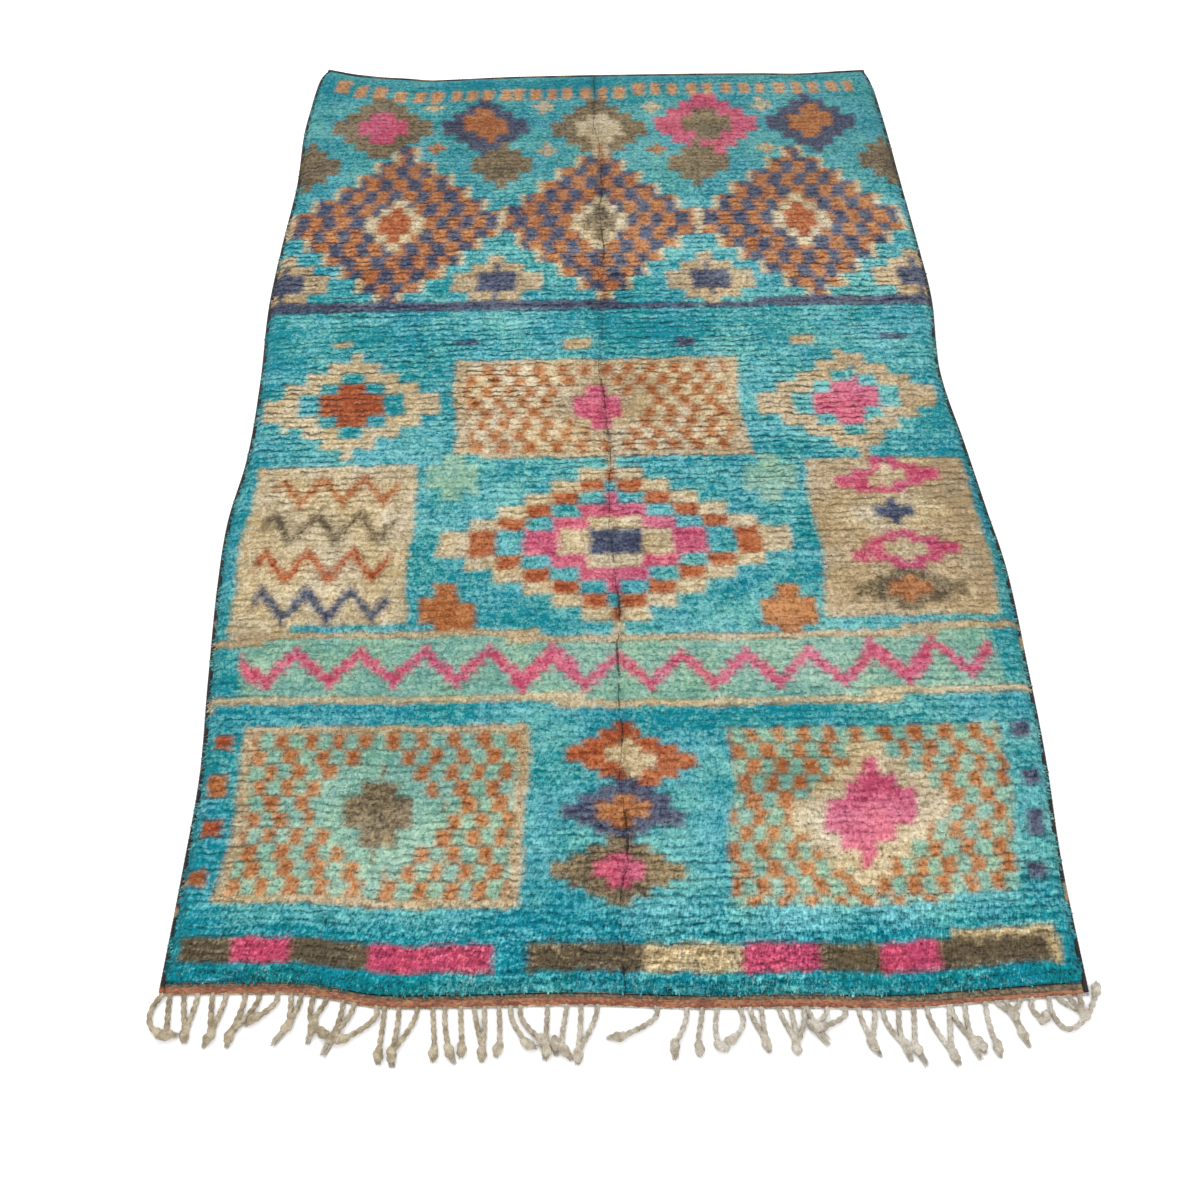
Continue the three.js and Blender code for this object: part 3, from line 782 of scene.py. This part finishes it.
LOCK_RINGS = ((0.0, 0.8), (0.46, 1.0), (0.86, 0.82))
LOCK_WIDTH = 0.0040
LOCK_THICKNESS = 0.0028
SIDE_LOCKS = 3400
END_LOCKS = 1500
WISP_COUNT = 38000
WISP_LENGTH = 0.015
WISP_RADIUS = 0.0011


def stem_arrays(sides, rings, tip=0.0):
    """A closed stem through rings, each a height and a radius, with a pointed tip of some height."""
    shape = bmesh.new()
    bmesh.ops.create_circle(shape, cap_ends=True, segments=sides, radius=rings[0][1])
    top = shape.faces[:]
    for (before, last), (height, radius) in zip(rings, rings[1:]):
        grown = bmesh.ops.extrude_face_region(shape, geom=top)["geom"]
        corners = [part for part in grown if isinstance(part, bmesh.types.BMVert)]
        top = [part for part in grown if isinstance(part, bmesh.types.BMFace)]
        bmesh.ops.translate(shape, verts=corners, vec=(0, 0, height - before))
        bmesh.ops.scale(shape, verts=corners, vec=(radius / last, radius / last, 1))
    if tip:
        bmesh.ops.poke(shape, faces=top, offset=tip)
    bmesh.ops.recalc_face_normals(shape, faces=shape.faces)
    return shape_arrays(shape)


# One lock: a three-sided stem from its root to a pointed tip, one unit tall
lock_stem, lock_faces = stem_arrays(3, LOCK_RINGS, 1 - LOCK_RINGS[-1][0])


def at_spots(across, row):
    """What the wool field holds at the net's corners nearest to some spots."""
    i = np.rint((across / PILE_SIDE + 1) / 2 * COLUMNS).astype(int)
    j = np.rint(row * LINES_PER_ROW).astype(int)
    return {key: values[j, i] for key, values in field.items()}


def bent_locks(stems, root, lean, length, rise, fall, size):
    """Copies of a stem that each leave a root at one slope and bow over to another."""
    share = stems[:, 2]
    rise, fall = rise[:, None], np.minimum(fall, rise - 0.05)[:, None]
    angle = rise + (fall - rise) * share
    out = length[:, None] * (np.sin(angle) - np.sin(rise)) / (fall - rise)
    up = length[:, None] * (np.cos(rise) - np.cos(angle)) / (fall - rise)
    wide, thick = (stems[:, k] * size[k][:, None] for k in (0, 1))
    sideways, forward = np.sin(lean)[:, None], -np.cos(lean)[:, None]
    x = out * sideways - wide * forward - thick * np.sin(angle) * sideways
    y = out * forward + wide * sideways - thick * np.sin(angle) * forward
    moved = root[:, None, :] + np.stack([x, y, up + thick * np.cos(angle)], -1)
    floor_level = corner_lift(moved[..., 0], moved[..., 1]) + 0.0006
    moved[..., 2] = np.maximum(moved[..., 2], floor_level)
    return moved


def wool_copies(name, stems, faces, places, spots, fade):
    """Joined copies with the wool's dyes, each a little more bleached towards its tip."""
    mesh = joined_copies(name, places, faces)
    corners = places.shape[1]
    readings = {
        "row": np.floor(spots["phase"]) + 0.5, "crease": spots["crease"] * 0.5, "fold": spots["fold"],
    }
    readings = {name: np.repeat(values, corners) for name, values in readings.items()}
    fade = (spots["fade"] + fade)[:, None] + 0.18 * stems[:, 2]
    keep_dyes(mesh, np.repeat(spots["dyes"], corners, axis=0), fade=fade, **readings)
    return mesh


def rim_locks():
    """Locks along both sides first, then along the fringe end and a few along the top edge."""
    chance = np.random.default_rng(61)
    count = SIDE_LOCKS + END_LOCKS
    is_side = np.arange(count) < SIDE_LOCKS
    inset = chance.uniform(0.0, 0.011, SIDE_LOCKS)
    across = np.where(np.arange(SIDE_LOCKS) % 2, 1, -1) * (PILE_SIDE - inset)
    across = np.concatenate([across, chance.uniform(-PILE_SIDE, PILE_SIDE, END_LOCKS)])
    near = chance.uniform(0, 1, END_LOCKS) < 0.86
    near_row = chance.uniform(0.35, 1.9, END_LOCKS)
    end_row = np.where(near, near_row, ROWS - chance.uniform(0.1, 0.5, END_LOCKS))
    row = np.concatenate([np.sort(chance.uniform(0.3, ROWS - 0.3, SIDE_LOCKS)), end_row])
    spots = at_spots(across, row)
    side = np.sign(across)
    bunch = np.sin(row * 2.3 + 3 * side) + np.sin(row * 0.83 + 2 * side)
    bunch += 0.8 * np.abs(np.sin(np.pi * row)) - 0.2
    outwards = side * (1.15 + 0.3 * chance.normal(size=count))
    lean = np.where(is_side, outwards, 0.35 * chance.normal(size=count) + 0.6 * spots["lean"])
    lean[SIDE_LOCKS:][~near] += math.pi
    length = np.where(is_side, np.clip(0.0100 + 0.0034 * bunch, 0.004, 0.0138), 0.0135)
    length = length * chance.uniform(0.85, 1.1, count)
    length[SIDE_LOCKS:][~near] = 0.0052
    root = on_rug(across, along_row(row), np.maximum(spots["height"] - 0.007, GROUND_TOP))
    rise = np.radians(np.where(is_side, 58, 52) + 8 * chance.normal(size=count))
    fall = np.radians(np.where(is_side, -28, -20) + 10 * chance.normal(size=count))
    size = np.array([[LOCK_WIDTH], [LOCK_THICKNESS]]) * chance.uniform(0.45, 0.8, (2, count))
    places = bent_locks(lock_stem, root, lean, length, rise, fall, size)
    fade = 0.06 * chance.normal(size=count)
    return wool_copies("rim_locks", lock_stem, lock_faces, places, spots, fade)


def pile_wisps():
    """Wisps of a few fibres, each one tapering point, all over the pile."""
    chance = np.random.default_rng(51)
    shape = bmesh.new()
    bmesh.ops.create_cone(shape, cap_ends=True, segments=3, radius1=1, radius2=0, depth=1)
    bmesh.ops.translate(shape, verts=shape.verts, vec=(0, 0, 0.5))
    stems, faces = shape_arrays(shape)
    across = chance.uniform(-PILE_SIDE, PILE_SIDE, WISP_COUNT)
    row = chance.uniform(0.6, ROWS - 1.2, WISP_COUNT)
    spots = at_spots(across, row)
    root = on_rug(across, along_row(row), spots["height"] - 0.0022)
    aside = np.where(chance.uniform(size=WISP_COUNT) < 0.5, 1.25, -1.25)
    aside = aside * soft_step((row / ROWS - 0.08) / 0.35)
    lean = aside + spots["lean"] + 0.5 * chance.normal(size=WISP_COUNT)
    lean -= 0.35 * soft_step((34 - row) / 20)
    length = WISP_LENGTH * chance.uniform(0.6, 1.15, WISP_COUNT)
    rise = np.radians(30 + 9 * chance.normal(size=WISP_COUNT))
    size = WISP_RADIUS * chance.uniform(0.7, 1.2, WISP_COUNT)
    places = bent_locks(stems, root, lean, length, rise, rise - 0.5, (size, size))
    fade = 0.17 * chance.normal(size=WISP_COUNT)
    return wool_copies("pile_wisps", stems, faces, places, spots, fade)


pile_pieces += [mesh_object(mesh, pile_material) for mesh in (rim_locks(), pile_wisps())]
for piece in pile_pieces:
    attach(piece, "root")
    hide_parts("pile_field")


# The ground cloth under the pile

GROUND_ACROSS = 60
GROUND_BOTTOM = 0.0004
BEAD_WIDTH = 0.0055
PALE_WEFT = (0.30, 0.24, 0.17)


def ground_cloth():
    shape = bmesh.new()
    bmesh.ops.create_grid(shape, x_segments=GROUND_ACROSS, y_segments=ROWS, size=0.5)
    across, along, _ = corner_places(shape).T
    across, row = across * 2 * PILE_SIDE, (along + 0.5) * ROWS
    move_corners(shape, on_rug(across, along_row(row), GROUND_TOP))
    mesh = mesh_from("ground_cloth", shape)
    at = at_spots(across, row)
    keep_dyes(mesh, at["dyes"], fade=at["fade"])

    # The underside takes its dyes from the top
    shape = bmesh.new()
    shape.from_mesh(mesh)
    bmesh.ops.recalc_face_normals(shape, faces=shape.faces)
    bmesh.ops.solidify(shape, geom=shape.faces[:], thickness=GROUND_TOP - GROUND_BOTTOM)
    bmesh.ops.recalc_face_normals(shape, faces=shape.faces)
    shape.to_mesh(mesh)
    shape.free()
    return mesh


def ground_base(finish):
    """The back of the knots: small beads in rows, between the pale wefts."""
    beads = finish.cells(finish.place((1 / BEAD_WIDTH, 1 / ROW_PITCH, 1)))
    colour = finish.wool_dye(finish.attribute("fade") * 0.6)
    return finish.mix(beads.clipped(0.35, 0.75), colour, PALE_WEFT)


ground_material = wool_finish("knot_backs", ground_base, (500, 500, 500), 0.0008)
ground = mesh_object(ground_cloth(), ground_material)
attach(ground, "root")
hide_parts("pile_field")


# The wrapped edges and the twined band

WRAP_PITCH = 0.0070
STITCH_PITCH = 0.0066
RIB_PITCH = 0.0049
OLIVE_WIDTH = 0.0082
RUST_WIDTH = 0.0150


def rolled(name, rings, turns, place, material):
    """A closed roll: a grid bent round into a tube, its seam welded and its ends closed."""
    shape = bmesh.new()
    bmesh.ops.create_grid(shape, x_segments=turns, y_segments=rings, size=0.5)
    turn, share, _ = (corner_places(shape) + 0.5).T
    move_corners(shape, place(share, turn))
    bmesh.ops.remove_doubles(shape, verts=shape.verts, dist=1e-6)
    rims = [edge for edge in shape.edges if edge.is_boundary]
    bmesh.ops.holes_fill(shape, edges=rims, sides=0)
    bmesh.ops.recalc_face_normals(shape, faces=shape.faces)
    for face in shape.faces:
        face.smooth = True
    return mesh_object(mesh_from(name, shape), material)


def wraps(distance, turn, pitch, slant, seed):
    """The ridges of a wrapping yarn, from 0 between two wraps to 1 on one, a little uneven."""
    drift = 0.35 * np.sin(distance * 61 + seed) + 0.25 * np.sin(distance * 143 + 2 * seed)
    phase = distance / pitch + slant * turn + drift
    return np.abs(np.sin(np.pi * phase)) ** 0.7


def oval(turn, wide, high, ridge=1.0):
    """Across and up on a flat-bottomed oval of that size, that stands on zero."""
    angle = turn * math.tau
    swell = 0.84 + 0.16 * ridge
    across = np.cos(angle) * wide / 2 * swell
    up = high / 2 + np.sin(angle) * high / 2 * np.where(np.sin(angle) > 0, swell, 0.94)
    return across, up


def side_wrap(side):
    start = (STRIP_WIDTH + GAP) / LENGTH
    middle = 1 - SIDE_CORD_WIDTH / 2 / HALF_WIDTH

    def place(share, turn):
        along = start + (PILE_FAR - start) * share
        ridge = wraps(share * LENGTH, turn, WRAP_PITCH, 1, side)
        out, up = oval(turn, SIDE_CORD_WIDTH, SIDE_CORD_HEIGHT, ridge)
        return on_rug(side * (middle + out / HALF_WIDTH), along, up)

    return place


def crosswise(share, reach, inset, out, up):
    """Points of a roll that runs across the rug, so far in from the fringe end."""
    return on_rug((share * 2 - 1) * reach, (inset + out) / LENGTH, up)


def top_overcast(share, turn):
    ridge = wraps(share * HALF_WIDTH * 2, turn, WRAP_PITCH, 1, 5)
    out, up = oval(turn, TOP_EDGE_WIDTH, TOP_EDGE_HEIGHT * 1.2, ridge)
    return crosswise(share, 1, LENGTH - TOP_EDGE_WIDTH / 2, out, up)


def olive_width(share):
    """The olive twining is a thin line at first, and over half of the band near the right side."""
    return OLIVE_WIDTH + 0.0046 * soft_step((share - 0.76) / 0.08)


def olive_line(share, turn):
    wide = olive_width(share)
    stitch = wraps(share * HALF_WIDTH * 2, turn, STITCH_PITCH, 1.2, 7)
    out, up = oval(turn, wide, BAND_HEIGHT, stitch)
    inset = STRIP_WIDTH + GAP + BAND_WIDTH - wide / 2
    return crosswise(share, PILE_SIDE, inset, out, up)


def rust_band(share, turn):
    wide = RUST_WIDTH + OLIVE_WIDTH - olive_width(share)
    out, up = oval(turn, wide, BAND_HEIGHT * 1.04)
    rib = np.abs(np.sin(np.pi * out / RIB_PITCH))
    stitch = wraps(share * HALF_WIDTH * 2, out / RIB_PITCH, STITCH_PITCH, 0.6, 9)
    up = np.where(up > BAND_HEIGHT * 0.4, up * (0.70 + 0.16 * rib + 0.18 * stitch), up)
    wobble = 0.0006 * np.sin(share * 411) + 0.0005 * np.sin(share * 187 + 2)
    inset = 0.0008 + wide / 2 + wobble + np.where(out < 0, 0.0011 * stitch, 0)
    return crosswise(share, PILE_SIDE, inset, out, up)


def side_colour(finish):
    """Dark wool, with tan stretches on the half next to the fringe, and rust at the left end."""
    place = finish.place()
    x, y = finish.axis(0), finish.axis(1)
    dark = finish.dyed(finish.noise(place, 16, 2), (24, 23, 25), (58, 53, 50))
    tan = finish.noise(place, 11, 2).clipped(0.59, 0.64) * y.clipped(-0.2, -0.4)
    colour = finish.dyed(tan, dark, (158, 128, 98))
    left_end = y.clipped(-1.245, -1.254) * x.clipped(0.0, -0.1)
    return finish.dyed(left_end, colour, (172, 100, 66))


def top_colour(finish):
    tone = finish.noise(finish.place(), 14, 2).clipped(0.4, 0.6)
    return finish.dyed(tone, (44, 41, 38), (104, 94, 72))


def rust_colour(finish):
    tone = finish.noise(finish.place((1, 3, 1)), 22).clipped(0.35, 0.65)
    wool = finish.dyed(tone, (156, 80, 52), (196, 128, 88))
    stitches = finish.fibres((150, 260, 150), 0.5)
    wool = finish.dyed(stitches.clipped(0.50, 0.40) * 0.75, wool, (112, 66, 42))
    return finish.dyed(stitches.clipped(0.58, 0.66) * 0.6, wool, (206, 164, 112))


def olive_colour(finish):
    stitches = finish.fibres((190, 230, 150), 0.6).clipped(0.38, 0.64)
    return finish.dyed(stitches, (84, 72, 54), (154, 134, 100))


side_material = wool_finish("dark_side_wool", side_colour, (700, 260, 700), 0.0010, 0.05)
top_material = wool_finish("dark_top_wool", top_colour, (260, 700, 700), 0.0010, 0.05)
rust_material = wool_finish("rust_weft_wool", rust_colour, (620, 900, 900), 0.0014)
olive_material = wool_finish("olive_weft_wool", olive_colour, (620, 900, 900), 0.0012)

edges = (
    ("side_wrap_left", 1400, 6, side_wrap(-1), side_material, "side_cord_left", "dark_wool"),
    ("side_wrap_right", 1400, 6, side_wrap(1), side_material, "side_cord_right", "dark_wool"),
    ("top_overcast", 900, 6, top_overcast, top_material, "top_edge", "dark_wool"),
    ("twined_rust_band", 1100, 14, rust_band, rust_material, "end_band", "rust_wool"),
    ("twined_olive_line", 1300, 6, olive_line, olive_material, "end_band", "rust_wool"),
)
for name, rings, turns, place, material, node, slot in edges:
    piece = rolled(name, rings, turns, place, material)
    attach(piece, "root")
    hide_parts(node)


# The fringe: two-ply cords, each ending in a knot and a frayed tail

PLY_SIDES = 6
PLY_RINGS = 30
PLY_RADIUS = 0.0034
PLY_OFFSET = 0.0018
PLY_TURN_LENGTH = 0.026
PATH_POINTS = 120
KNOT_LENGTH = 0.017
TAIL_SHORTEST = 0.014
TAIL_HAIRS = 24


def near_edge(x):
    reach = left_side(-LENGTH / 2) if x < 0 else right_side(-LENGTH / 2)
    return -LENGTH / 2 + near_shift(x / reach)


def strand_path(root, end, bow):
    """The centre line of a strand, from its root in the strip to its knot."""
    start = np.array([root, near_edge(root) + STRIP_WIDTH / 2])
    drop = end[1] - start[1]
    first = np.array([start[0] + bow, start[1] + drop * 0.4])
    second = np.array([end[0] + bow, start[1] + drop * 0.85])
    t = np.linspace(0, 1, 40)[:, None]
    s = 1 - t
    return start * s ** 3 + 3 * first * t * s ** 2 + 3 * second * t * t * s + end * t ** 3


def spaced(path, count):
    """The same path with its points at even distances."""
    steps = np.linalg.norm(np.diff(path, axis=0), axis=1)
    distance = np.concatenate([[0], np.cumsum(steps)])
    wanted = np.linspace(0, distance[-1], count)
    return np.stack([np.interp(wanted, distance, column) for column in path.T], 1), distance[-1]


def ply_places(path, phase, tube):
    """One ply of a two-ply cord along a path on the floor, winding round its centre line."""
    share = tube[:, 2]
    last = PATH_POINTS - 1
    line, length = spaced(path, PATH_POINTS)
    at = share * last
    k = np.minimum(at.astype(int), last - 1)
    spot = line[k] + (line[k + 1] - line[k]) * (at - k)[:, None]
    run = line[np.minimum(k + 2, last)] - line[np.maximum(k - 1, 0)]
    run = run / np.linalg.norm(run, axis=1)[:, None]
    wind = phase + math.tau * share * length / PLY_TURN_LENGTH
    slim = 1 - 0.25 * np.exp(-share * length / 0.004)
    out = np.cos(wind) * PLY_OFFSET * slim + tube[:, 0] * PLY_RADIUS * slim
    up = np.sin(wind) * PLY_OFFSET * 0.8 * slim + tube[:, 1] * PLY_RADIUS * slim
    return beside(spot, run, 0 * out, out, PLY_RADIUS + PLY_OFFSET * 0.8 + up)


def beside(spot, run, forward, out, up):
    """Points so far forward, out to the side and up from a spot, where a cord runs one way."""
    side = np.stack([-run[..., 1], run[..., 0]], -1)
    return np.column_stack([spot + forward[:, None] * run + out[:, None] * side, up])


def knot_places(ball, end, run, phase):
    """A soft overhand knot: a long lump with two slanting wraps round it."""
    angle = np.arctan2(ball[:, 1], ball[:, 0])
    along = ball[:, 2]
    wrap = 1 + 0.18 * np.sin(angle + along * 4.6 + phase) * (1 - along ** 2)
    wide = np.hypot(ball[:, 0], ball[:, 1]) ** 0.8 * wrap * (1 + 0.18 * along)
    up = np.maximum(0.0068 + np.sin(angle) * wide * 0.0066, 0.0004)
    reach = along * KNOT_LENGTH * 0.78
    return beside(end, run / np.linalg.norm(run), reach, np.cos(angle) * wide * 0.0082, up)


def tail_places(end, run):
    """The frayed tail past a knot: a brush of tapering wisps."""
    length = max(np.linalg.norm(run) + KNOT_LENGTH * 0.4, TAIL_SHORTEST)
    run = run / np.linalg.norm(run)
    wide, thick, share = lock_stem.T
    slim = 1 - 0.65 * share
    sets = []
    for start in np.linspace(-0.0046, 0.0046, TAIL_HAIRS):
        fan = chance.normal() * 0.06
        forward = share * (length * chance.uniform(0.68, 1.0))
        height = chance.uniform(0.0030, 0.0095)
        out = start * (1 - 0.3 * share) + fan * forward + wide * 0.0019 * slim
        up = height * (1 - 0.45 * share) + thick * 0.0017 * slim
        sets.append(beside(end, run, forward, out, np.maximum(up, 0.0003)))
    return sets


def fringe_colour(finish):
    tone = finish.noise(finish.place(), 60).clipped(0.3, 0.7)
    brown = finish.dyed(tone, (140, 124, 98), (198, 184, 158))
    grey = finish.dyed(tone, (160, 149, 130), (210, 203, 190))
    cord = finish.mix(finish.axis(0).clipped(-0.45, 0.15), brown, grey)
    # Painted light: the tails' wisps are mixed paler, over the shadow that the knots cast on them
    return finish.dyed(finish.attribute("tail_painted_light"), cord, (236, 228, 212))


def warp_root(share, turn):
    """The strip of warps that the strands grow from, beside the twined band."""
    lump = wraps(share * HALF_WIDTH * 2, turn, 0.0060, 0.0, 3)
    out, up = oval(turn, STRIP_WIDTH * (0.7 + 0.3 * lump), STRIP_HEIGHT * 0.9)
    return crosswise(share, 0.998, STRIP_WIDTH / 2 - 0.0006 * lump, out, up)


chance = np.random.default_rng(41)
rings = [(k / (PLY_RINGS - 1), 1.0) for k in range(PLY_RINGS)]
tube, tube_faces = stem_arrays(PLY_SIDES, rings)
shape = bmesh.new()
bmesh.ops.create_uvsphere(shape, u_segments=16, v_segments=12, radius=1)
ball, ball_faces = shape_arrays(shape)
plies, balls, wisps = [], [], []
for across, reach, aside, onwards, bow, *roots in KNOTS:
    end = np.array([across * MM, near_edge(across * MM) - reach * MM])
    for root in roots:
        path = strand_path(root * MM, end, bow * MM)
        phase = chance.uniform(0, math.tau)
        plies += [ply_places(path, phase + half, tube) for half in (0, math.pi)]
    run = end + (aside * MM, -onwards * MM) - end
    balls.append(knot_places(ball, end, run, chance.uniform(0, math.tau)))
    wisps += tail_places(end, run)

# The strand that curls round the corner, as a path without corners of its own
points = np.array(CORNER_STRAND, float) * MM
steps = np.arange(len(points))
corner = [smooth_curve(steps, column)(np.linspace(0, steps[-1], 60)) for column in points.T]
corner = np.stack(corner, 1)
end = corner[-1]
run = np.array(CORNER_TAIL) * MM - end
plies += [ply_places(corner, half, tube) for half in (0, math.pi)]
balls.append(knot_places(ball, end, run, 0))
wisps += tail_places(end, run)
brush = joined_copies("wisps", np.array(wisps), lock_faces)
# Painted light on the tails' wisps, lifting them out of the knots' shadow
tail_painted_light = brush.attributes.new("tail_painted_light", "FLOAT", "POINT")
tail_painted_light.data.foreach_set("value", np.full(len(brush.vertices), 0.45, np.float32))
meshes = [
    joined_copies("plies", np.array(plies), tube_faces),
    joined_copies("knots", np.array(balls), ball_faces),
    brush,
]

fringe_material = wool_finish("warp_wool", fringe_colour, (460, 460, 330), 0.0009, 0.1)
strip = rolled("warp_strip", 600, 6, warp_root, fringe_material)
parts = [strip] + [mesh_object(mesh, fringe_material) for mesh in meshes]
with bpy.context.temp_override(active_object=strip, selected_editable_objects=parts):
    bpy.ops.object.join()
strip.name = "plied_fringe"
strip.data.name = "plied_fringe"
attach(strip, "root")
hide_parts("fringe")
